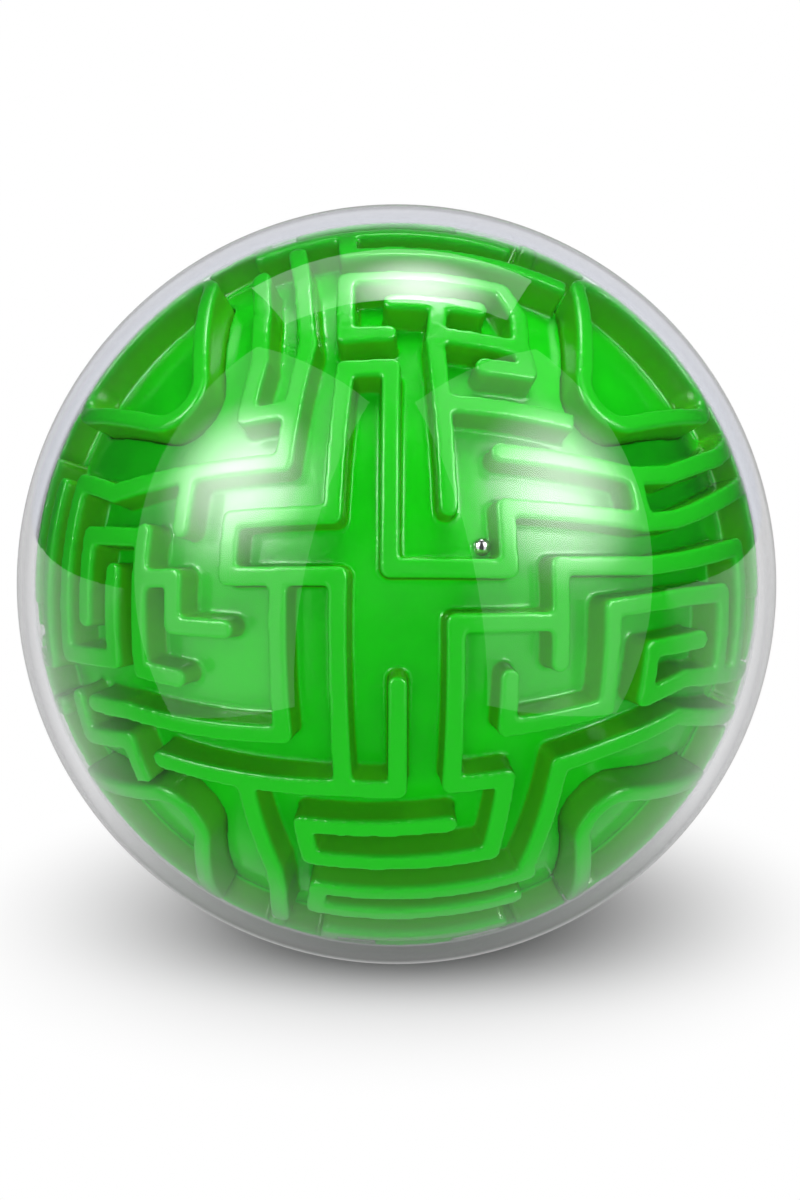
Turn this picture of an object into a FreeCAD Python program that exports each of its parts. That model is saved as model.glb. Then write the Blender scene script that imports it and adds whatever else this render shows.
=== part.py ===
"""Maze ball puzzle: a clear two-part shell around a green maze globe, with one loose steel ball.

Millimetres, +Z up, origin at the centre of the ball, front of the maze towards -Y.
The maze is laid out on the six faces of a cube blown up to a sphere. A place on a face is
(across, up) in grid steps from the face's centre, and one grid step is nine degrees.
"""

import itertools
import math
import os

import FreeCAD
import Part
import Sketcher
from FreeCAD import Vector

DOCUMENT = "maze_ball"
ORIGIN = Vector(0, 0, 0)

# How the sketcher numbers things: an arc's ends and centre, the sketch's origin and its upright axis.
LOWER = 1
UPPER = 2
CENTRE = 3
SKETCH_ORIGIN = (-1, 1)
SKETCH_UP_AXIS = -2

DIMENSIONS = [
    ("outer_diameter", 90.0),
    ("shell_wall", 2.0),
    ("lap_length", 1.2),
    ("lap_clearance", 0.04),
    ("wall_clearance", 0.2),
    ("wall_height", 3.4),
    ("floor_thickness", 1.6),
    ("wall_width", 2.1),
    ("wall_draft_degrees", 1.2),
    ("pocket_corner_radius", 4.0),
    ("pocket_edge_radius", 0.4),
    ("joint_gap", 0.1),
    ("grid_degrees", 9.0),
    ("steel_ball_diameter", 2.0),
    ("steel_ball_clearance", 0.06),
    ("steel_ball_across", 1.6),
    ("steel_ball_up", 1.32),
]

# Each face of the cube: its outward normal, its across direction and its up direction.
FACES = {
    "front": (Vector(0, -1, 0), Vector(1, 0, 0), Vector(0, 0, 1)),
    "right": (Vector(1, 0, 0), Vector(0, 1, 0), Vector(0, 0, 1)),
    "back": (Vector(0, 1, 0), Vector(-1, 0, 0), Vector(0, 0, 1)),
    "left": (Vector(-1, 0, 0), Vector(0, -1, 0), Vector(0, 0, 1)),
    "top": (Vector(0, 0, 1), Vector(1, 0, 0), Vector(0, 1, 0)),
    "bottom": (Vector(0, 0, -1), Vector(1, 0, 0), Vector(0, -1, 0)),
}
HALF_FACE = 5.0  # grid steps from a face's centre to its edge
PANEL_REACH = 1.2  # how far past a face's edge, as a tangent, the walls are still fused into its panel

document = FreeCAD.newDocument(DOCUMENT)
sheet = document.addObject("Spreadsheet::Sheet", "dimensions")
for row, (alias, value) in enumerate(DIMENSIONS, start=1):
    sheet.set(f"A{row}", alias)
    sheet.set(f"B{row}", str(value))
    sheet.setAlias(f"B{row}", alias)
document.recompute()

OUTER_RADIUS = sheet.outer_diameter / 2
SHELL_INNER_RADIUS = OUTER_RADIUS - sheet.shell_wall
WALL_TOP_RADIUS = SHELL_INNER_RADIUS - sheet.wall_clearance
FLOOR_RADIUS = WALL_TOP_RADIUS - sheet.wall_height
INSIDE_RADIUS = FLOOR_RADIUS - sheet.floor_thickness
WALL_FOOT_RADIUS = FLOOR_RADIUS - sheet.floor_thickness / 2  # the walls are rooted inside the floor
WALL_CUT_RADIUS = 1.15 * WALL_TOP_RADIUS  # and are made taller than the maze, then trimmed to its sphere
POST_FACTOR = 1.02  # round corners stand a hair proud of the straight walls, so that the two fuse cleanly


def place(face, across, up):
    """The direction from the centre of the ball to a grid place on a face."""
    normal, right, top = FACES[face]
    step = sheet.grid_degrees
    sideways = right * math.tan(math.radians(step * across))
    upward = top * math.tan(math.radians(step * up))
    return (normal + sideways + upward).normalize()


def F(across, up):
    return place("front", across, up)


def R(across, up):
    return place("right", across, up)


def K(across, up):
    return place("back", across, up)


def L(across, up):
    return place("left", across, up)


def T(across, up):
    return place("top", across, up)


def B(across, up):
    return place("bottom", across, up)


FREE = "free"  # the wall stops in a corridor, with a rounded end
MEETS = "meets"  # the wall runs into another wall

WALLS = [
    # front: the long wall that the steel ball lies on, and its neighbours
    (FREE, [F(-0.85, 0.8), F(-2.75, 0.8), F(-2.75, 1.81), F(-0.97, 1.81), F(-0.97, 4.4), F(0, 4.4),
             F(0, 0.93), F(1.98, 0.93), F(1.98, 1.97), F(4.69, 2.02), F(5.45, 2.26), R(-4, 1.95),
             R(-1.6, 1.95), R(-1.6, 0.1)], FREE),
    (MEETS, [F(-1.85, 0.8), F(-1.85, -1.95), F(-3, -2.07), F(-5, -2.3), L(4.1, -2.0)], FREE),
    (MEETS, [F(-0.85, 0.8), F(-0.85, -2.85)], MEETS),
    (FREE, [F(0.13, -1.0), F(0.13, -2.85), F(-1, -2.85), F(-3, -3.0), F(-4.45, -3.15)], FREE),
    (MEETS, [F(-2.72, -3.0), F(-2.72, -5.0), B(-2.45, 4.4), B(-2.2, 3.35)], FREE),
    (FREE, [F(1.1, -3.6), F(-1.74, -3.7), F(-1.74, -4.45), F(2.1, -4.4), F(2.1, -2.8), F(1.1, -2.8),
            F(1.08, 0.03), F(2.87, 0.0), F(2.87, 1.0), F(4.69, 1.08), F(5.45, 1.25), R(-4, 1.05),
            R(-2.75, 1.0), R(-2.75, -1.33)], MEETS),
    (FREE, [F(2.0, -0.95), F(2.0, -1.83), F(3.84, -1.8), F(3.85, 0.2), F(5.45, 0.35), R(-3.42, 0.25),
            R(-3.4, -1.38)], MEETS),
    (FREE, [R(-4.08, -0.64), R(-5.3, -0.85), F(4.66, -1.85), R(-4.4, -1.47), R(-2.3, -1.3)], FREE),
    (FREE, [R(-2.4, -2.15), R(-4.4, -2.3), F(4, -2.7), F(3.1, -2.75), F(3.1, -5.0),
            B(3.0, 4.75), B(-1.65, 4.75), B(-1.6, 4.1), B(2.5, 4.1)], FREE),
    (MEETS, [F(2.87, 0.0), F(2.87, -0.75)], FREE),
    (MEETS, [F(3.6, 3.75), F(1.0, 3.75)], MEETS),
    (MEETS, [T(0.95, -4.1), F(1.0, 5), F(1.0, 1.95)], FREE),
    (FREE, [F(2.0, 2.93), F(4.62, 2.98), R(-4.5, 2.9), R(-2.65, 2.65), R(-0.6, 2.7),
            R(-0.6, -1.15)], FREE),
    (MEETS, [F(4.62, 2.98), F(4.66, 2.02)], MEETS),
    # front, left of the middle, and on to the left face
    (FREE, [T(-1.74, -2.3), T(-1.74, -3.4), F(-1.92, 5), F(-1.92, 2.75), F(-4.4, 2.81), F(-5.45, 2.85),
            L(4.13, 2.47), L(3.5, 2.37), L(3.49, -0.95), L(4.86, -1.1), L(4.86, 0.9)], FREE),
    (MEETS, [F(-3.73, 2.8), F(-3.73, 1.75)], FREE),
    (FREE, [L(4.13, -0.2), L(4.13, 1.5), L(5.45, 1.9), F(-4.5, 1.75), F(-4.5, -1.2), F(-3.75, -1.2)], FREE),
    (MEETS, [F(-4.5, 0.78), F(-3.78, 0.78), F(-3.78, -0.15), F(-2.8, -0.15)], FREE),
    (FREE, [T(-2.47, -2.92), T(-2.65, -4), F(-2.93, 4.8), F(-2.85, 3.7), F(-1.92, 3.7)], MEETS),
    # top
    (MEETS, [T(-0.83, -1.9), T(-0.83, -2.7), T(3.2, -2.7)], MEETS),
    (FREE, [T(-0.1, -4.88), T(-1.05, -4.9), T(-0.9, -3.5), T(2.1, -3.5), T(2.6, -4.15), F(3.0, 5.2),
            F(2.95, 4.6), F(2.0, 4.55)], FREE),
    (FREE, [T(0, -4.15), T(1.75, -4.15)], FREE),
    (MEETS, [T(1.0, -4.88), T(2.8, -4.92)], MEETS),
    (FREE, [T(1.9, -1.9), T(-2.35, -1.9), T(-2.35, 0.9), T(-1.8, 0.9)], FREE),
    (FREE, [T(2.35, -1.2), T(2.35, 0.2), T(0.9, 0.2), T(0.9, -1.0), T(-1.6, -1.0), T(-1.6, 0.0),
            T(-0.1, 0.0)], FREE),
    (FREE, [T(-2.2, 1.9), T(-0.9, 1.9), T(-0.9, 1.0), T(0.1, 1.0)], FREE),
    (FREE, [T(1.0, 1.1), T(1.0, 2.9), T(-2.2, 2.9), T(-2.2, 3.9), T(-2.3, 5.0), K(2.4, 4.0)], FREE),
    (MEETS, [T(1.0, 1.9), T(2.3, 1.9), T(2.3, 1.1)], FREE),
    (FREE, [T(2.0, 2.9), T(2.0, 3.9), T(-1.3, 3.9)], FREE),
    (FREE, [T(3.4, 0.4), T(4.0, -0.1), R(-0.1, 3.6), R(0.4, 3.0), R(0.4, 1.5), R(2.3, 1.5),
            R(2.3, -2.3)], FREE),
    (MEETS, [T(2.35, -0.45), T(3.3, -0.45)], FREE),
    (MEETS, [T(-2.35, -0.45), T(-3.3, -0.45)], FREE),
    # left
    (FREE, [L(3.6, -1.85), L(3.6, -2.6), L(4.83, -2.95), L(4.88, -3.9)], MEETS),
    (FREE, [L(2.75, 2.1), L(2.75, -1.1), L(1.8, -1.1), L(1.8, -2.0), L(2.7, -2.0)], FREE),
    (FREE, [L(1.8, 2.3), L(1.8, 0.0), L(0.9, 0.0), L(0.9, 2.0)], FREE),
    (FREE, [L(0.9, -3.45), L(0.9, -1.0), L(-0.9, -1.0), L(-0.9, 1.0), L(0.0, 1.0),
            L(0.0, 3.1), L(0.9, 3.1), L(0.9, 2.5)], FREE),
    (MEETS, [L(0.9, 0.0), L(0.9, -0.5)], FREE),
    (FREE, [L(0.0, -2.0), L(-1.8, -2.0), L(-1.8, 2.0), L(-0.9, 2.0), L(-0.9, 4.1), L(0.3, 4.1),
            T(-4.0, -0.1), T(-3.4, 0.4)], FREE),
    (FREE, [L(-2.7, 2.1), L(-2.7, -1.0)], FREE),
    (FREE, [L(1.0, -3.9), L(-0.9, -3.9), L(-0.9, -2.9)], FREE),
    (FREE, [L(-2.7, -1.9), L(-3.7, -1.9), L(-3.7, 0.0)], FREE),
    (FREE, [L(-3.7, 2.1), L(-3.7, 1.0), K(4.5, 1.0)], FREE),
    # right
    (FREE, [R(-0.6, -3.1), R(0.4, -3.1), R(0.4, 0.6), R(1.3, 0.6), R(1.3, -1.9)], FREE),
    (FREE, [R(-1.5, -2.2), R(-0.5, -2.2), R(-0.5, -1.6)], FREE),
    (FREE, [R(-1.1, -2.65), R(-1.1, -3.8)], FREE),
    (MEETS, [R(-0.6, 2.7), R(-0.6, 3.4)], FREE),
    (FREE, [R(1.3, 2.5), R(3.2, 2.0), R(3.2, -0.9), R(4.2, -0.9), K(-4.4, -1.9)], FREE),
    (FREE, [R(-0.6, -4.1), R(0.9, -4.1)], FREE),
    (MEETS, [R(3.2, 0.9), R(4.2, 0.9), R(4.2, 1.9), K(-4.4, 2.0)], FREE),
    (FREE, [R(3.2, -1.9), R(3.2, -2.8), K(-3.4, -2.9), K(-3.4, -1.0)], FREE),
    # back
    (FREE, [K(-4.2, 0.0), K(-2.5, 0.0), K(-2.5, -3.0), K(-1.5, -3.0), K(-1.5, -1.0)], FREE),
    (FREE, [K(-4.2, 2.9), K(-2.5, 2.9), K(-2.5, 1.0), K(-0.5, 1.0), K(-0.5, -3.0), K(1.5, -3.0),
            K(1.5, -1.0)], FREE),
    (FREE, [K(-2.6, 4.0), K(1.6, 4.0), K(1.6, 2.0), K(0.5, 2.0), K(0.5, -2.0)], FREE),
    (FREE, [K(-1.5, 2.0), K(-1.5, 3.0), K(0.6, 3.0)], FREE),
    (FREE, [K(2.6, 2.9), K(2.6, 0.0), K(1.5, 0.0), K(1.5, 1.0)], FREE),
    (FREE, [K(4.4, -0.9), K(2.6, -0.9), K(2.6, -3.0), K(3.5, -3.0)], FREE),
    (FREE, [K(-2.5, -4.0), K(2.6, -4.0), B(-2.6, -4.4)], FREE),
    (FREE, [K(3.6, 0.0), K(3.6, 2.0), K(4.6, 2.0), L(-4.4, 2.9)], FREE),
    (FREE, [K(3.5, -2.0), L(-4.6, -2.0), L(-4.6, -1.0)], FREE),
    # bottom
    (FREE, [B(2.0, 3.1), B(-1.2, 3.1), B(-1.2, 1.0), B(-0.2, 1.0), B(-0.2, 2.1), B(0.9, 2.1)], FREE),
    (FREE, [B(-3.7, 0.6), B(-3.7, 0.0), B(-2.2, 0.0), B(-2.2, 2.2)], FREE),
    (FREE, [B(2.3, 1.2), B(0.9, 1.2), B(0.9, -1.0), B(-1.2, -1.0), B(-1.2, 0.0)], FREE),
    (FREE, [B(4.1, 0.6), B(4.1, -0.4), B(2.0, -0.5), B(2.0, 0.3), B(3.0, 0.3)], FREE),
    (FREE, [B(-2.2, -1.0), B(-2.2, -2.0), B(1.0, -2.0), B(1.0, -3.0)], FREE),
    (FREE, [B(2.0, -1.5), B(2.0, -4.0), B(-1.4, -4.0)], FREE),
    (FREE, [B(0.0, -3.0), B(-2.2, -3.0)], FREE),
    (FREE, [B(-4.6, 0.6), B(-4.6, -0.5)], FREE),
    (FREE, [B(-3.2, 1.8), B(-1.2, 1.8)], MEETS),
    (FREE, [B(2.4, 1.9), B(3.2, 1.9)], MEETS),
]

# Each corner pocket is a rounded triangle with one point on each of the three faces around it.
POCKET_FRONT_AND_BACK = (3.6, 3.5)
POCKET_SIDES = (1.75, 3.2)
POCKET_TOP_AND_BOTTOM = (3.15, 1.5)


def half_width(radius):
    """Half a wall's thickness at a distance from the centre: the walls draft inward towards their tops."""
    draft = math.tan(math.radians(sheet.wall_draft_degrees))
    return sheet.wall_width / 2 + (WALL_TOP_RADIUS - radius) * draft


def run(start, finish):
    """A straight length of wall that follows the great circle between two directions."""
    pole = start.cross(finish).normalize()
    rings = []
    for radius in (WALL_FOOT_RADIUS, WALL_CUT_RADIUS):
        side = pole * half_width(radius)
        near, far = start * radius, finish * radius
        corners = [near - side, far - side, far + side, near + side]
        rings.append(Part.makePolygon(corners + corners[:1]))
    return Part.makeLoft(rings, True, True)


def post(direction):
    """The round corner or end of a wall."""
    foot, top = [POST_FACTOR * half_width(radius) for radius in (WALL_FOOT_RADIUS, WALL_CUT_RADIUS)]
    length = WALL_CUT_RADIUS - WALL_FOOT_RADIUS
    return Part.makeCone(foot, top, length, direction * WALL_FOOT_RADIUS, direction)


def wall_pieces(start_kind, points, end_kind):
    """The solids of one wall, each with the direction that it stands in."""
    pieces = [(run(a, b), (a + b).normalize()) for a, b in zip(points, points[1:])]
    pieces += [(post(p), p) for p in points[1:-1]]
    if start_kind == FREE:
        pieces.append((post(points[0]), points[0]))
    if end_kind == FREE:
        pieces.append((post(points[-1]), points[-1]))
    return pieces


def pyramid(normal, corners):
    """A solid whose flat sides pass through the centre of the ball and through the given directions."""
    rings = []
    for distance in (0.4 * INSIDE_RADIUS, 1.5 * WALL_TOP_RADIUS):
        points = [c * (distance / c.dot(normal)) for c in corners]
        rings.append(Part.makePolygon(points + points[:1]))
    return Part.makeLoft(rings, True, True)


def rounded_triangle(axis, corners, offset, radius, distance):
    """A closed outline on the plane at a distance along the axis, offset outward from three directions."""
    points = [c * (distance / c.dot(axis)) for c in corners]
    edges = []
    starts = []
    stops = []
    arcs = []
    for before, here, after in zip(points[-1:] + points[:-1], points, points[1:] + points[:1]):
        towards_before = (before - here).normalize()
        towards_after = (after - here).normalize()
        half_angle = towards_before.getAngle(towards_after) / 2
        inward = (towards_before + towards_after).normalize()
        tip = here - inward * (offset / math.sin(half_angle))
        reach = radius / math.tan(half_angle)
        centre = tip + inward * (radius / math.sin(half_angle))
        stops.append(tip + towards_before * reach)
        starts.append(tip + towards_after * reach)
        arcs.append(centre - inward * radius)
    for index in range(len(points)):
        following = (index + 1) % len(points)
        edges.append(Part.Arc(stops[index], arcs[index], starts[index]).toShape())
        edges.append(Part.LineSegment(starts[index], stops[following]).toShape())
    return Part.Wire(edges)


def triangle_prism(axis, corners, offset, radius):
    """A rounded triangle carried outward from near the centre, with every side pointing at the centre."""
    rings = []
    for distance in (0.4 * INSIDE_RADIUS, 1.5 * WALL_TOP_RADIUS):
        scale = distance / WALL_TOP_RADIUS
        rings.append(rounded_triangle(axis, corners, offset * scale, radius * scale, distance))
    return Part.makeLoft(rings, True, True)


def pocket_corners(signs):
    """The three points of a pocket, for the signs of X, Y and Z at its corner of the cube."""
    x, y, z = signs
    front_or_back = "back" if y > 0 else "front"
    side = "right" if x > 0 else "left"
    cap = "top" if z > 0 else "bottom"
    corners = []
    for face, (across, up) in (
        (front_or_back, POCKET_FRONT_AND_BACK),
        (side, POCKET_SIDES),
        (cap, POCKET_TOP_AND_BOTTOM),
    ):
        corner = Vector(x, y, z)
        normal, right, top = FACES[face]
        corners.append(place(face, across * right.dot(corner), up * top.dot(corner)))
    if corners[0].cross(corners[1]).dot(corners[2]) < 0:
        corners.reverse()
    return corners


def pocket_cutter(signs):
    """What the panels leave free for a corner pocket."""
    half = sheet.wall_width / 2
    reach = half + sheet.joint_gap
    radius = sheet.pocket_corner_radius + reach
    return triangle_prism(Vector(*signs).normalize(), pocket_corners(signs), reach, radius)


def pocket(signs):
    """One corner pocket: a rounded triangular cup with a floor and a rim wall."""
    axis = Vector(*signs).normalize()
    corners = pocket_corners(signs)
    half = sheet.wall_width / 2
    radius = sheet.pocket_corner_radius
    outside = triangle_prism(axis, corners, half, radius + half)
    inside = triangle_prism(axis, corners, -half, radius - half)
    block = outside.common(Part.makeSphere(WALL_TOP_RADIUS)).cut(Part.makeSphere(INSIDE_RADIUS))
    hollow = inside.cut(Part.makeSphere(FLOOR_RADIUS))
    cup = block.cut(hollow)
    top_edges = [e for e in cup.Edges if all(v.Point.Length > WALL_TOP_RADIUS - 0.01 for v in e.Vertexes)]
    return cup.makeFillet(sheet.pocket_edge_radius, top_edges)


def panel(face, walls, pockets):
    """One face of the maze: a curved square of floor with its walls, cut away for the four pockets."""
    normal, right, top = FACES[face]
    edge = HALF_FACE - math.degrees(sheet.joint_gap / 2 / FLOOR_RADIUS) / sheet.grid_degrees
    square = [place(face, a, b) for a, b in ((-edge, -edge), (edge, -edge), (edge, edge), (-edge, edge))]
    block = Part.makeSphere(WALL_TOP_RADIUS).common(pyramid(normal, square))
    floor = block.common(Part.makeSphere(FLOOR_RADIUS)).cut(Part.makeSphere(INSIDE_RADIUS))
    near = [s for s, d in walls if max(abs(d.dot(right)), abs(d.dot(top))) < PANEL_REACH * d.dot(normal)]
    standing = near[0].fuse(near[1:]).common(block.cut(Part.makeSphere(FLOOR_RADIUS)))
    return floor.fuse(standing).cut(pockets)


def add_shape(label, shape):
    """A sub-part whose shape is made by the functions above."""
    feature = document.addObject("Part::Feature", label)
    feature.Label = label
    feature.Shape = shape
    feature.Placement = FreeCAD.Placement()
    return feature


def add_profile_constraints(sketch, outer, middle, inner, lines, to_front):
    """Joins the arcs and lines of a half shell's profile end to end."""
    pole_line, outer_step, inner_step = lines
    at_pole, at_step = (LOWER, UPPER) if to_front else (UPPER, LOWER)
    joints = [
        (pole_line, 1, outer, at_pole),
        (pole_line, 2, inner, at_pole),
        (outer_step, 1, outer, at_step),
        (outer_step, 2, middle, UPPER),
        (inner_step, 1, middle, LOWER),
        (inner_step, 2, inner, at_step),
    ]
    for first, first_end, second, second_end in joints:
        sketch.addConstraint(Sketcher.Constraint("Coincident", first, first_end, second, second_end))
    for arc in (outer, middle, inner):
        sketch.addConstraint(Sketcher.Constraint("Coincident", arc, CENTRE, *SKETCH_ORIGIN))
    for end in (1, 2):
        sketch.addConstraint(Sketcher.Constraint("PointOnObject", pole_line, end, SKETCH_UP_AXIS))
    for line in (outer_step, inner_step):
        sketch.addConstraint(Sketcher.Constraint("Horizontal", line))


def add_half_shell(label, to_front, clearance_sign, inner_step_size, outer_step_size):
    """Half of the clear shell: its ring profile turned once about the Y axis.

    At the seam the outer half of the wall ends at the outer step and the inner half at the inner step,
    so that the two halves of the shell lap over each other.
    """
    body = document.addObject("PartDesign::Body", label)
    body.Label = label
    sketch = body.newObject("Sketcher::SketchObject", label + "_profile")
    sketch.AttachmentSupport = [(next(f for f in body.Origin.OriginFeatures if f.Role == "XY_Plane"), "")]
    sketch.MapMode = "FlatFace"

    lap_radius = (OUTER_RADIUS + SHELL_INNER_RADIUS + clearance_sign * sheet.lap_clearance) / 2
    pole_angle = math.radians(-90 if to_front else 90)

    def height_angle(radius, height):
        return math.asin(height / radius)

    def seam_point(radius, height):
        return Vector(math.sqrt(radius**2 - height**2), height, 0)

    def arc(radius, first, second):
        circle = Part.Circle(ORIGIN, Vector(0, 0, 1), radius)
        return sketch.addGeometry(Part.ArcOfCircle(circle, min(first, second), max(first, second)), False)

    def line(start, finish):
        return sketch.addGeometry(Part.LineSegment(start, finish), False)

    outer = arc(OUTER_RADIUS, pole_angle, height_angle(OUTER_RADIUS, outer_step_size))
    inner = arc(SHELL_INNER_RADIUS, pole_angle, height_angle(SHELL_INNER_RADIUS, inner_step_size))
    lap_angles = [height_angle(lap_radius, size) for size in (inner_step_size, outer_step_size)]
    middle = arc(lap_radius, *lap_angles)
    pole = Vector(0, -1 if to_front else 1, 0)
    pole_line = line(pole * OUTER_RADIUS, pole * SHELL_INNER_RADIUS)
    outer_step = line(
        seam_point(OUTER_RADIUS, outer_step_size), seam_point(lap_radius, outer_step_size)
    )
    inner_step = line(
        seam_point(lap_radius, inner_step_size), seam_point(SHELL_INNER_RADIUS, inner_step_size)
    )
    add_profile_constraints(sketch, outer, middle, inner, (pole_line, outer_step, inner_step), to_front)

    sign = "+" if clearance_sign > 0 else "-"
    step_offset = "0 mm" if to_front else "dimensions.lap_clearance * 1 mm"
    outside = "dimensions.outer_diameter / 2"
    wall = "dimensions.shell_wall"
    lap_offset = f"{sign} dimensions.lap_clearance / 2"
    driven = [
        ("outer_radius", "Radius", (outer,), f"{outside} * 1 mm"),
        ("inner_radius", "Radius", (inner,), f"({outside} - {wall}) * 1 mm"),
        ("lap_radius", "Radius", (middle,), f"({outside} - {wall} / 2 {lap_offset}) * 1 mm"),
        (
            "outer_step",
            "DistanceY",
            (*SKETCH_ORIGIN, outer_step, 1),
            f"dimensions.lap_length * 1 mm + {step_offset}",
        ),
        ("inner_step", "DistanceY", (*SKETCH_ORIGIN, inner_step, 2), step_offset),
    ]
    sizes = [OUTER_RADIUS, SHELL_INNER_RADIUS, lap_radius, outer_step_size, inner_step_size]
    for (name, kind, where, expression), size in zip(driven, sizes):
        index = sketch.addConstraint(Sketcher.Constraint(kind, *where, size))
        sketch.renameConstraint(index, name)
        sketch.setExpression(f"Constraints.{name}", expression)
    document.recompute()

    turned = body.newObject("PartDesign::Revolution", label + "_turned")
    turned.Profile = sketch
    turned.ReferenceAxis = (sketch, ["V_Axis"])
    turned.Angle = 360
    return body


def add_steel_ball(label):
    """The ball, lying on the wall below it and against the floor of the maze."""
    ball = document.addObject("Part::Sphere", label)
    ball.Label = label
    ball.setExpression("Radius", "dimensions.steel_ball_diameter / 2 * 1 mm")
    centre_radius = FLOOR_RADIUS + sheet.steel_ball_diameter / 2 + sheet.steel_ball_clearance
    centre = F(sheet.steel_ball_across, sheet.steel_ball_up) * centre_radius
    ball.Placement = FreeCAD.Placement(centre, FreeCAD.Rotation())
    return ball


def corner_name(signs):
    x, y, z = signs
    depth = "back" if y > 0 else "front"
    height = "top" if z > 0 else "bottom"
    side = "right" if x > 0 else "left"
    return f"{depth}_{height}_{side}"


lap_end = sheet.lap_length
gap = sheet.lap_clearance
parts = [
    add_half_shell("shell_front", True, 1, 0.0, lap_end),
    add_half_shell("shell_rear", False, -1, gap, lap_end + gap),
]

corner_signs = list(itertools.product((-1, 1), repeat=3))
for signs in corner_signs:
    parts.append(add_shape("corner_pocket_" + corner_name(signs), pocket(signs)))

pocket_cutters = [pocket_cutter(signs) for signs in corner_signs]
wall_solids = [piece for wall in WALLS for piece in wall_pieces(*wall)]
for face in FACES:
    parts.append(add_shape("maze_panel_" + face, panel(face, wall_solids, pocket_cutters)))

parts.append(add_steel_ball("steel_ball"))

document.recompute()
for item in document.Objects:
    if "Invalid" in item.State or "Error" in item.State:
        raise RuntimeError(f"{item.Label} failed: {item.State}")
os.makedirs("parts", exist_ok=True)
for item in parts:
    if item.Shape.isNull() or not item.Shape.isValid() or len(item.Shape.Solids) != 1:
        raise RuntimeError(f"{item.Label} isn't one valid solid")
    item.Shape.exportStep(f"parts/{item.Label}.step")
    print(f"{item.Label}: {item.Shape.Volume:.1f} mm3")
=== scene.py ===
import math

import bmesh
import bpy
import numpy as np
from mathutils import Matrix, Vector


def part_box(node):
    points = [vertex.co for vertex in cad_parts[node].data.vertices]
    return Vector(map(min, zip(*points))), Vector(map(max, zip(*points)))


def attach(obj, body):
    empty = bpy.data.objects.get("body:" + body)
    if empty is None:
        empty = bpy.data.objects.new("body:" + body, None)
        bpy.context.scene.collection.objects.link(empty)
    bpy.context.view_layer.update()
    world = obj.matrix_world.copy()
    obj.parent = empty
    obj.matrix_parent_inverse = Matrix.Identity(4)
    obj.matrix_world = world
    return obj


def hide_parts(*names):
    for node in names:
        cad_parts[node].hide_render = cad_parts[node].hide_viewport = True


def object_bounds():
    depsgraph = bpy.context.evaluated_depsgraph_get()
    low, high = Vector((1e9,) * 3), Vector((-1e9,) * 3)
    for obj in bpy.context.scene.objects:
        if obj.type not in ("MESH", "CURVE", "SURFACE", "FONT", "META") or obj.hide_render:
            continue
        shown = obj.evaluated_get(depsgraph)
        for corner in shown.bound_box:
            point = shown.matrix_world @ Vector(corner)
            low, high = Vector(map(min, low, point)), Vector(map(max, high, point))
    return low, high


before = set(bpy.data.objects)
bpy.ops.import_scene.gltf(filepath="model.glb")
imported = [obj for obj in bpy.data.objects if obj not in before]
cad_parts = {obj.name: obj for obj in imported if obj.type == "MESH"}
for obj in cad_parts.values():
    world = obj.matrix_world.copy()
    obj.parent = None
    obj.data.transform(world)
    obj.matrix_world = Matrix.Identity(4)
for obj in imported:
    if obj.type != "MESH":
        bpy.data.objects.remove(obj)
cad_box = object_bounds()

MM = 0.001
GLOBE = "maze_globe"

# Sizes of the object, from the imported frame.
OUTER_RADIUS = (cad_box[1][0] - cad_box[0][0]) / 2
FLOOR_LEVEL = cad_box[0][2]
SHELL_WALL = 2.0 * MM
SHELL_INNER_RADIUS = OUTER_RADIUS - SHELL_WALL
WALL_TOP_RADIUS = SHELL_INNER_RADIUS - 0.2 * MM

# The maze's six faces, by the direction each looks in.
FACES = {
    "front": (0, -1, 0),
    "right": (1, 0, 0),
    "back": (0, 1, 0),
    "left": (-1, 0, 0),
    "top": (0, 0, 1),
    "bottom": (0, 0, -1),
}
PANEL_EDGE_BAND = 0.08 * MM  # what lies this close to a panel's edge plane is moved
PANEL_OVERLAP = 0.05 * MM  # to this far past it

# The moulded skin is remeshed with this voxel size, then smoothed this many times.
VOXEL = 0.22 * MM
SOFTENING = 14

SHELL_STEPS_ROUND = 256
SHELL_STEPS_ALONG = 96
SHELL_SHARP_DEGREES = 40

# The camera of the photograph, seen from the centre of the ball.
CAMERA_ELEVATION = math.radians(6)
CAMERA_AZIMUTH = math.radians(1)
CAMERA_DISTANCE = 0.4995
CAMERA_LENS = 126
CAMERA_SENSOR = 36
CAMERA_SHIFT = (0.0029, -0.0133)

# Colours of the green plastic.
FLOOR_GREEN = (0.003, 0.60, 0.003, 1)
PALE_FLOOR_GREEN = (0.006, 0.69, 0.004, 1)
# Painted shade: the deeper olive green on the wall sides stands in for the shade they lie in.
PAINTED_SHADE_SIDE_GREEN = (0.05, 0.44, 0.002, 1)
# Painted light: the paler green on the wall tops stands in for the fuller light they catch.
PAINTED_LIGHT_TOP_GREEN = (0.016, 0.63, 0.014, 1)
BOUNCE_GREY = (0.1, 0.11, 0.1, 1)

# Colours of the clear shell, of light let straight through it, and of the backdrop seen through its rim.
SHELL_TINT = (0.985, 0.99, 1.0, 1)
SHELL_SHADOW_TINT = (0.97, 0.98, 0.98, 1)
RIM_BACKDROP = (0.90, 0.92, 0.98, 1)

DARK_STEEL = (0.62, 0.63, 0.64, 1)
LIGHT_STEEL = (0.78, 0.78, 0.77, 1)


def link(piece):
    bpy.context.scene.collection.objects.link(piece)
    return piece


# ---------------------------------------------------------------- node helpers


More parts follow.
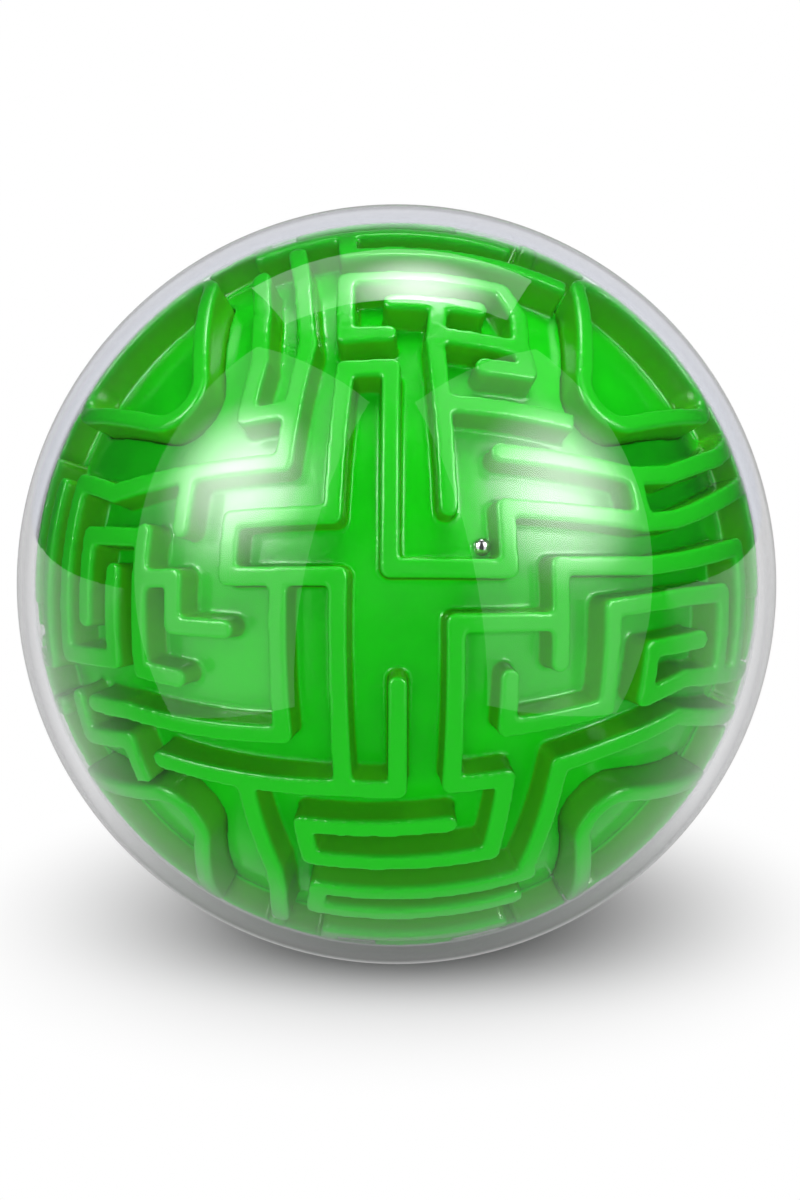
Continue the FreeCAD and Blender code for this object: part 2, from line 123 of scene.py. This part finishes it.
class Tree:
    """A short way to write a node tree."""

    def __init__(self, owner):
        owner.use_nodes = True
        self.tree = owner.node_tree
        self.tree.nodes.clear()

    def add(self, kind, inputs=None, **settings):
        node = self.tree.nodes.new(kind)
        for name, value in settings.items():
            setattr(node, name, value)
        for name, value in (inputs or {}).items():
            self.set(node.inputs[name], value)
        return node

    def set(self, socket, value):
        if isinstance(value, bpy.types.NodeSocket):
            self.tree.links.new(value, socket)
        else:
            socket.default_value = value

    def math(self, operation, first, second):
        return self.add("ShaderNodeMath", {0: first, 1: second}, operation=operation).outputs[0]

    def vector(self, operation, first, second=None):
        """Vector maths. A length or a dot product comes back as a number."""
        inputs = {0: first} if second is None else {0: first, 1: second}
        node = self.add("ShaderNodeVectorMath", inputs, operation=operation)
        return node.outputs["Value"] if operation in ("LENGTH", "DOT_PRODUCT") else node.outputs["Vector"]

    def ramp(self, value, low, high, to_low=0.0, to_high=1.0):
        """A smooth step from to_low, where value is low, to to_high, where it is high."""
        inputs = {"Value": value, "From Min": low, "From Max": high, "To Min": to_low, "To Max": to_high}
        return self.add("ShaderNodeMapRange", inputs, interpolation_type="SMOOTHSTEP").outputs["Result"]

    def mix(self, factor, first, second):
        node = self.add("ShaderNodeMix", data_type="RGBA")
        self.set(node.inputs[0], factor)
        self.set(node.inputs[6], first)
        self.set(node.inputs[7], second)
        return node.outputs[2]

    def noise(self, position, scale, detail):
        inputs = {"Vector": position, "Scale": scale, "Detail": detail}
        return self.add("ShaderNodeTexNoise", inputs).outputs["Fac"]

    def bump(self, height, distance, strength):
        inputs = {"Height": height, "Distance": distance, "Strength": strength}
        return self.add("ShaderNodeBump", inputs).outputs[0]

    def emission(self, strength):
        return self.add("ShaderNodeEmission", {"Strength": strength}).outputs[0]

    def mix_shaders(self, factor, first, second):
        return self.add("ShaderNodeMixShader", {0: factor, 1: first, 2: second}).outputs[0]


# ---------------------------------------------------------------- materials


def green_plastic():
    """Moulded glossy plastic: clean green floors, wall sides in a deeper olive that is painted shade, paler
    wall tops that are painted light.

    Light that the studio floor gets back from it is grey, as on a set with a neutral drop shadow.
    """
    material = bpy.data.materials.new("moulded_green_plastic")
    t = Tree(material)
    position = t.add("ShaderNodeTexCoord").outputs["Object"]
    normal = t.add("ShaderNodeNewGeometry").outputs["Normal"]
    radius = t.vector("LENGTH", position)
    facing = t.vector("DOT_PRODUCT", normal, t.vector("NORMALIZE", position))
    # Painted shade: wall sides, which face away from the outward direction, get the deeper olive green.
    painted_shade_sides = t.ramp(facing, 0.85, 0.25)
    # Painted light: the wall tops, close to the shell, get the paler green.
    painted_light_tops = t.ramp(radius, WALL_TOP_RADIUS - 0.9 * MM, WALL_TOP_RADIUS - 0.1 * MM)
    cloud = t.noise(position, 90.0, 3.0)
    floor_colour = t.mix(t.ramp(cloud, 0.35, 0.65), FLOOR_GREEN, PALE_FLOOR_GREEN)
    colour_with_painted_shade = t.mix(painted_shade_sides, floor_colour, PAINTED_SHADE_SIDE_GREEN)
    colour = t.mix(painted_light_tops, colour_with_painted_shade, PAINTED_LIGHT_TOP_GREEN)
    path = t.add("ShaderNodeLightPath").outputs
    outside = t.math("LESS_THAN", path["Transmission Depth"], 0.5)
    on_studio_floor = t.math("MULTIPLY", path["Is Diffuse Ray"], outside)
    colour = t.mix(on_studio_floor, colour, BOUNCE_GREY)
    grain = t.noise(position, 2200.0, 2.0)
    swirl = t.noise(position, 420.0, 2.0)
    roughness = t.ramp(grain, 0.3, 0.7, 0.12, 0.24)
    height = t.math("ADD", t.math("MULTIPLY", grain, 0.5), swirl)
    shader = t.add(
        "ShaderNodeBsdfPrincipled",
        {
            "Base Color": colour,
            "Roughness": roughness,
            "Normal": t.bump(height, 0.04 * MM, 0.5),
            "IOR": 1.5,
            "Specular IOR Level": 0.4,
            "Subsurface Weight": 0.2,
            "Subsurface Scale": 0.0006,
        },
    )
    shader.inputs["Subsurface Radius"].default_value = (0.3, 1.0, 0.3)
    t.add("ShaderNodeOutputMaterial", {"Surface": shader.outputs[0]})
    return material


def clear_plastic():
    """Polished clear acrylic. Lamps and light from the maze pass straight through it."""
    material = bpy.data.materials.new("clear_acrylic")
    t = Tree(material)
    position = t.add("ShaderNodeTexCoord").outputs["Object"]
    handled = t.noise(position, 55.0, 4.0)
    fine = t.noise(position, 1800.0, 2.0)
    roughness = t.ramp(handled, 0.45, 0.75, 0.004, 0.03)
    glass = t.add(
        "ShaderNodeBsdfPrincipled",
        {
            "Base Color": SHELL_TINT,
            "Roughness": roughness,
            "IOR": 1.49,
            "Transmission Weight": 1.0,
            "Normal": t.bump(fine, 0.002 * MM, 0.3),
        },
    )
    path = t.add("ShaderNodeLightPath").outputs
    bends = t.math("MAXIMUM", path["Is Camera Ray"], path["Is Transmission Ray"])
    in_wall = t.math("LESS_THAN", path["Transmission Depth"], 1.5)
    bends = t.math("MAXIMUM", bends, t.math("MULTIPLY", path["Is Glossy Ray"], in_wall))
    clear = t.add("ShaderNodeBsdfTransparent", {"Color": SHELL_SHADOW_TINT})
    both = t.mix_shaders(bends, clear.outputs[0], glass.outputs[0])
    t.add("ShaderNodeOutputMaterial", {"Surface": both})
    return material


def bearing_steel():
    """A polished steel ball with faint rolling marks."""
    material = bpy.data.materials.new("bearing_steel")
    t = Tree(material)
    position = t.add("ShaderNodeTexCoord").outputs["Object"]
    marks = t.noise(t.vector("MULTIPLY", position, (1.0, 1.0, 9.0)), 2200.0, 4.0)
    blotch = t.noise(position, 900.0, 2.0)
    shader = t.add(
        "ShaderNodeBsdfPrincipled",
        {
            "Base Color": t.mix(blotch, DARK_STEEL, LIGHT_STEEL),
            "Metallic": 1.0,
            "Roughness": t.ramp(marks, 0.3, 0.7, 0.06, 0.16),
            "Normal": t.bump(marks, 0.003 * MM, 0.4),
        },
    )
    t.add("ShaderNodeOutputMaterial", {"Surface": shader.outputs[0]})
    return material


# ---------------------------------------------------------------- pieces


def softened(name, mesh):
    """The mesh with its sharp edges and inner corners rounded, as an injection moulding's are."""
    piece = link(bpy.data.objects.new(name, mesh))
    remesh = piece.modifiers.new("skin", "REMESH")
    remesh.mode = "VOXEL"
    remesh.voxel_size = VOXEL
    soften = piece.modifiers.new("soften", "SMOOTH")
    soften.factor = 0.5
    soften.iterations = SOFTENING
    depsgraph = bpy.context.evaluated_depsgraph_get()
    skin = bpy.data.meshes.new_from_object(piece.evaluated_get(depsgraph))
    piece.modifiers.clear()
    piece.data = skin
    skin.shade_smooth()
    return piece


def coordinates(mesh):
    places = np.empty(len(mesh.vertices) * 3)
    mesh.vertices.foreach_get("co", places)
    return places.reshape(-1, 3)


def joined_panels():
    """The six maze panels as one mesh, each reaching a hair past its edges so that they run together."""
    maker = bmesh.new()
    for name, normal in FACES.items():
        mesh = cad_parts["maze_panel_" + name].data.copy()
        places = coordinates(mesh)
        for other in FACES.values():
            if abs(np.dot(other, normal)) > 0.5:
                continue
            inward = (np.array(normal) - np.array(other)) / math.sqrt(2)
            depth = places @ inward
            edge = depth < PANEL_EDGE_BAND
            places[edge] -= np.outer(depth[edge] + PANEL_OVERLAP, inward)
        mesh.vertices.foreach_set("co", places.ravel())
        maker.from_mesh(mesh)
        bpy.data.meshes.remove(mesh)
    joined = bpy.data.meshes.new("joined_panels")
    maker.to_mesh(joined)
    maker.free()
    return joined


def maze_panels():
    """One piece for each panel, cut from one softened skin so that walls run on across the joints."""
    whole = softened("maze_skin", joined_panels())
    skin = whole.data
    places = coordinates(skin)
    corners = np.empty(len(skin.loops), dtype=np.int32)
    skin.loops.foreach_get("vertex_index", corners)
    quads = corners.reshape(-1, 4)
    middles = places[quads].mean(axis=1)
    names = list(FACES)
    nearest = np.argmax(middles @ np.array([FACES[name] for name in names]).T, axis=1)
    pieces = {}
    for index, name in enumerate(names):
        chosen = quads[nearest == index]
        used, renumbered = np.unique(chosen, return_inverse=True)
        mesh = bpy.data.meshes.new("moulded_panel_" + name)
        mesh.from_pydata(places[used], [], renumbered.reshape(-1, 4))
        mesh.shade_smooth()
        pieces[name] = link(bpy.data.objects.new("moulded_panel_" + name, mesh))
    bpy.data.objects.remove(whole)
    bpy.data.meshes.remove(skin)
    return pieces


def turned(name, profile):
    """A closed skin turned about the Y axis. The profile's pairs are (distance from it, place along it)."""
    steps = SHELL_STEPS_ROUND
    maker = bmesh.new()
    rings = []
    for distance, along in profile:
        if distance < 1e-7:
            rings.append([maker.verts.new((0, along, 0))])
            continue
        ring = []
        for index in range(steps):
            angle = 2 * math.pi * index / steps
            ring.append(maker.verts.new((distance * math.cos(angle), along, distance * math.sin(angle))))
        rings.append(ring)
    for first, second in zip(rings, rings[1:]):
        for index in range(steps):
            corners = []
            for vertex in (
                first[index % len(first)],
                first[(index + 1) % len(first)],
                second[(index + 1) % len(second)],
                second[index % len(second)],
            ):
                if vertex not in corners:
                    corners.append(vertex)
            maker.faces.new(corners)
    bmesh.ops.recalc_face_normals(maker, faces=maker.faces)
    mesh = bpy.data.meshes.new(name)
    maker.to_mesh(mesh)
    maker.free()
    mesh.shade_smooth()
    mesh.set_sharp_from_angle(angle=math.radians(SHELL_SHARP_DEGREES))
    return link(bpy.data.objects.new(name, mesh))


def shell_profile(sign, outer_step, inner_step, lap_radius):
    """The wall of a half shell, from the pole's outside round to its inside. sign is -1 in front."""
    steps = SHELL_STEPS_ALONG

    def arc(radius, start, stop, count):
        angles = [start + (stop - start) * index / count for index in range(count + 1)]
        return [(radius * math.cos(a), radius * math.sin(a)) for a in angles]

    pole = sign * math.pi / 2
    points = arc(OUTER_RADIUS, pole, math.asin(outer_step / OUTER_RADIUS), steps)
    points += arc(lap_radius, math.asin(outer_step / lap_radius), math.asin(inner_step / lap_radius), 4)
    points += arc(SHELL_INNER_RADIUS, math.asin(inner_step / SHELL_INNER_RADIUS), pole, steps)
    points[0] = (0.0, points[0][1])
    points[-1] = (0.0, points[-1][1])
    return points


def steel_ball_piece(node):
    """The loose ball as a smooth quad sphere."""
    low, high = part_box(node)
    centre = (Vector(low) + Vector(high)) / 2
    radius = (high[0] - low[0]) / 2
    maker = bmesh.new()
    bmesh.ops.create_cube(maker, size=2.0)
    bmesh.ops.subdivide_edges(maker, edges=maker.edges, cuts=15, use_grid_fill=True)
    for vertex in maker.verts:
        vertex.co = centre + vertex.co.normalized() * radius
    mesh = bpy.data.meshes.new("polished_steel_ball")
    maker.to_mesh(mesh)
    maker.free()
    mesh.shade_smooth()
    return link(bpy.data.objects.new("polished_steel_ball", mesh))


def finish_piece(piece, material, body, node):
    """Paints a piece, lets it ride on its body and puts it in the place of its CAD node."""
    piece.data.materials.clear()
    piece.data.materials.append(material)
    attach(piece, body)
    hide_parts(node)


green = green_plastic()
clear = clear_plastic()
steel = bearing_steel()

for name, piece in maze_panels().items():
    finish_piece(piece, green, GLOBE, "maze_panel_" + name)

for node in sorted(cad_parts):
    if node.startswith("corner_pocket"):
        piece = softened("moulded_" + node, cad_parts[node].data.copy())
        finish_piece(piece, green, GLOBE, node)

# At the seam the front half's outer skin laps over the rear half's inner skin.
seam_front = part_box("shell_front")[1][1]
seam_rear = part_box("shell_rear")[0][1]
lap_middle = OUTER_RADIUS - SHELL_WALL / 2
front_profile = shell_profile(-1, seam_front, 0.0, lap_middle + seam_rear / 2)
rear_profile = shell_profile(1, seam_front + seam_rear, seam_rear, lap_middle - seam_rear / 2)
front_shell = turned("clear_shell_front", front_profile)
rear_shell = turned("clear_shell_rear", rear_profile)
finish_piece(front_shell, clear, GLOBE, "shell_front")
finish_piece(rear_shell, clear, GLOBE, "shell_rear")

finish_piece(steel_ball_piece("steel_ball"), steel, "loose_ball", "steel_ball")

# ---------------------------------------------------------------- camera

toward_camera = Vector(
    (
        math.sin(CAMERA_AZIMUTH) * math.cos(CAMERA_ELEVATION),
        -math.cos(CAMERA_AZIMUTH) * math.cos(CAMERA_ELEVATION),
        math.sin(CAMERA_ELEVATION),
    )
)
camera_right = Vector((math.cos(CAMERA_AZIMUTH), math.sin(CAMERA_AZIMUTH), 0))
camera_up = toward_camera.cross(camera_right)

camera_data = bpy.data.cameras.new("camera")
camera_data.lens = CAMERA_LENS
camera_data.sensor_width = CAMERA_SENSOR
camera_data.shift_x, camera_data.shift_y = CAMERA_SHIFT
camera_data.clip_start = 0.01
camera = link(bpy.data.objects.new("camera", camera_data))
camera.location = toward_camera * CAMERA_DISTANCE
camera.rotation_euler = toward_camera.to_track_quat("Z", "Y").to_euler()
bpy.context.scene.camera = camera

# ---------------------------------------------------------------- lamps

SOFTBOX_DISTANCE = 0.6


def area_lamp(name, data, location):
    """Puts an area lamp in its place, facing the ball and unseen by the camera."""
    lamp = link(bpy.data.objects.new(name, data))
    lamp.location = location
    lamp.rotation_euler = Vector(location).to_track_quat("Z", "Y").to_euler()
    lamp.visible_camera = False
    lamp.visible_transmission = False
    return lamp


def softbox(name, sideways, up, size, hot, level, peak, spread):
    """A rectangular lamp that is only seen in gloss.

    sideways and up are its angles from the camera, in degrees. Its face glows at level, and at peak
    in a spot of radius spread. hot is the spot's place on the face, from -0.5 to 0.5 each way.
    """
    a, b = math.radians(sideways), math.radians(up)
    ahead = toward_camera * (math.cos(b) * math.cos(a))
    aside = camera_right * (math.cos(b) * math.sin(a))
    direction = ahead + aside + camera_up * math.sin(b)
    data = bpy.data.lights.new(name, "AREA")
    data.shape = "RECTANGLE"
    data.size, data.size_y = size
    data.energy = math.pi * size[0] * size[1]
    t = Tree(data)
    place = t.add("ShaderNodeNewGeometry").outputs["Parametric"]
    offset = t.vector("SUBTRACT", place, (0.5 + hot[0], 0.5 + hot[1], 0))
    far = t.vector("LENGTH", t.vector("MULTIPLY", offset, (size[0] / spread, size[1] / spread, 0)))
    t.add("ShaderNodeOutputLight", {"Surface": t.emission(t.ramp(far, 1.0, 0.0, level, peak))})
    lamp = area_lamp(name, data, direction * SOFTBOX_DISTANCE)
    lamp.visible_diffuse = False


def fill_lamp(name, location, size, brightness):
    """A round lamp that only lights: it isn't seen in the shell's or the plastic's gloss."""
    data = bpy.data.lights.new(name, "AREA")
    data.shape = "DISK"
    data.size = size
    data.energy = brightness * math.pi * math.pi * (size / 2) ** 2
    lamp = area_lamp(name, data, location)
    lamp.visible_glossy = False
    return lamp


softbox("softbox_left", -53, 14, size=(0.64, 1.35), hot=(0.0, 0.11), level=1.0, peak=15.0, spread=0.3)
softbox("softbox_right", 50, 14, size=(0.66, 1.35), hot=(0.05, 0.09), level=1.0, peak=14.0, spread=0.32)
softbox("softbox_top", 3, 103, size=(0.52, 0.27), hot=(-0.1, 0.3), level=1.6, peak=14.0, spread=0.18)
overhead_fill = fill_lamp("overhead_fill", (0.06, -0.05, 0.5), size=0.4, brightness=6.8)
floor_lamp = fill_lamp("floor_lamp", (-0.07, -0.245, 0.215), size=0.47, brightness=2.7)
front_fill = fill_lamp("front_fill", (0.0, -1.2, 0.0), size=0.9, brightness=3.9)

# ---------------------------------------------------------------- backdrop and floor

FILL_LEVEL = 0.24
GLOSS_DARK, GLOSS_BRIGHT = 0.015, 0.55
INSIDE_DARK = 0.04
FLOOR_PAINT = (0.74, 0.74, 0.74, 1)
FLOOR_THROUGH_SHELL = 0.92
FLOOR_DARK = 0.05
FLOOR_HALF_SIZE = 2.5
SHADE_CENTRE = (0, 0.036, 0)
SHADE_SQUEEZE = (1.0, 0.53, 0.0)
SHADE_INNER, SHADE_OUTER = 0.013, 0.06


def studio_backdrop():
    """The world, by kind of ray.

    Light that fills is even. Gloss sees a dark room with a bright patch low down behind. The clear rim
    sees the white backdrop, but what is mirrored inside the shell's wall in front of the maze is dark.
    """
    world = bpy.data.worlds.new("studio")
    t = Tree(world)
    path = t.add("ShaderNodeLightPath").outputs
    direction = t.add("ShaderNodeTexCoord").outputs["Generated"]
    heading = t.add("ShaderNodeSeparateXYZ", {0: direction}).outputs

    def background(strength, colour=(1, 1, 1, 1)):
        return t.add("ShaderNodeBackground", {"Color": colour, "Strength": strength}).outputs[0]

    mirrored = t.math("GREATER_THAN", path["Glossy Depth"], 0.5)
    inside = t.math("MULTIPLY", t.ramp(heading["Y"], 0.87, 0.78), mirrored)
    through = t.ramp(inside, 0.0, 1.0, 1.0, INSIDE_DARK)
    low = t.math("MULTIPLY", t.ramp(heading["Z"], 0.1, -0.6, 0.0, 0.6), t.ramp(heading["Y"], -0.1, 0.5))
    grazing = t.math("MAXIMUM", low, t.ramp(heading["Y"], 0.8, 1.0))
    gloss = t.ramp(grazing, 0.0, 1.0, GLOSS_DARK, GLOSS_BRIGHT)
    mixed = t.mix_shaders(path["Is Glossy Ray"], background(FILL_LEVEL), background(gloss))
    mixed = t.mix_shaders(path["Is Transmission Ray"], mixed, background(through, RIM_BACKDROP))
    mixed = t.mix_shaders(path["Is Camera Ray"], mixed, background(1.0))
    t.add("ShaderNodeOutputWorld", {"Surface": mixed})
    return world


def floor_paint():
    """Matt pale paint where the shadow falls, fading to an even white that meets the backdrop.

    What the shell's wall mirrors of the floor in front of it is dark, as in a room with black flags.
    """
    material = bpy.data.materials.new("pale_floor")
    t = Tree(material)
    place = t.add("ShaderNodeTexCoord").outputs["Object"]
    path = t.add("ShaderNodeLightPath").outputs
    squeezed = t.vector("MULTIPLY", t.vector("SUBTRACT", place, SHADE_CENTRE), SHADE_SQUEEZE)
    away = t.ramp(t.vector("LENGTH", squeezed), SHADE_INNER, SHADE_OUTER)
    paint = t.add("ShaderNodeBsdfDiffuse", {"Color": FLOOR_PAINT}).outputs[0]
    white = t.emission(t.ramp(path["Is Transmission Ray"], 0.0, 1.0, 1.0, FLOOR_THROUGH_SHELL))
    in_front = t.ramp(t.add("ShaderNodeSeparateXYZ", {0: place}).outputs["Y"], 0.05, -0.05)
    mirrored = t.math("MULTIPLY", in_front, t.math("GREATER_THAN", path["Glossy Depth"], 0.5))
    both = t.mix_shaders(mirrored, t.mix_shaders(away, paint, white), t.emission(FLOOR_DARK))
    t.add("ShaderNodeOutputMaterial", {"Surface": both})
    return material


def studio_floor():
    """A plain floor that the ball rests on."""
    sides = ((-1, -1), (1, -1), (1, 1), (-1, 1))
    corners = [(FLOOR_HALF_SIZE * x, FLOOR_HALF_SIZE * y, FLOOR_LEVEL) for x, y in sides]
    mesh = bpy.data.meshes.new("studio_floor")
    mesh.from_pydata(corners, [], [(0, 1, 2, 3)])
    mesh.materials.append(floor_paint())
    floor = link(bpy.data.objects.new("studio_floor", mesh))
    floor.visible_glossy = False
    return floor


bpy.context.scene.world = studio_backdrop()
floor = studio_floor()

# The floor has a lamp of its own, which gives the shadow, and the fills leave it out.
only_floor = bpy.data.collections.new("lit_by_floor_lamp")
only_floor.objects.link(floor)
floor_lamp.light_linking.receiver_collection = only_floor
all_but_floor = bpy.data.collections.new("not_lit_by_fills")
all_but_floor.objects.link(floor)
all_but_floor.collection_objects[0].light_linking.link_state = "EXCLUDE"
for lamp in (overhead_fill, front_fill):
    lamp.light_linking.receiver_collection = all_but_floor

bpy.context.scene.view_settings.view_transform = "Standard"
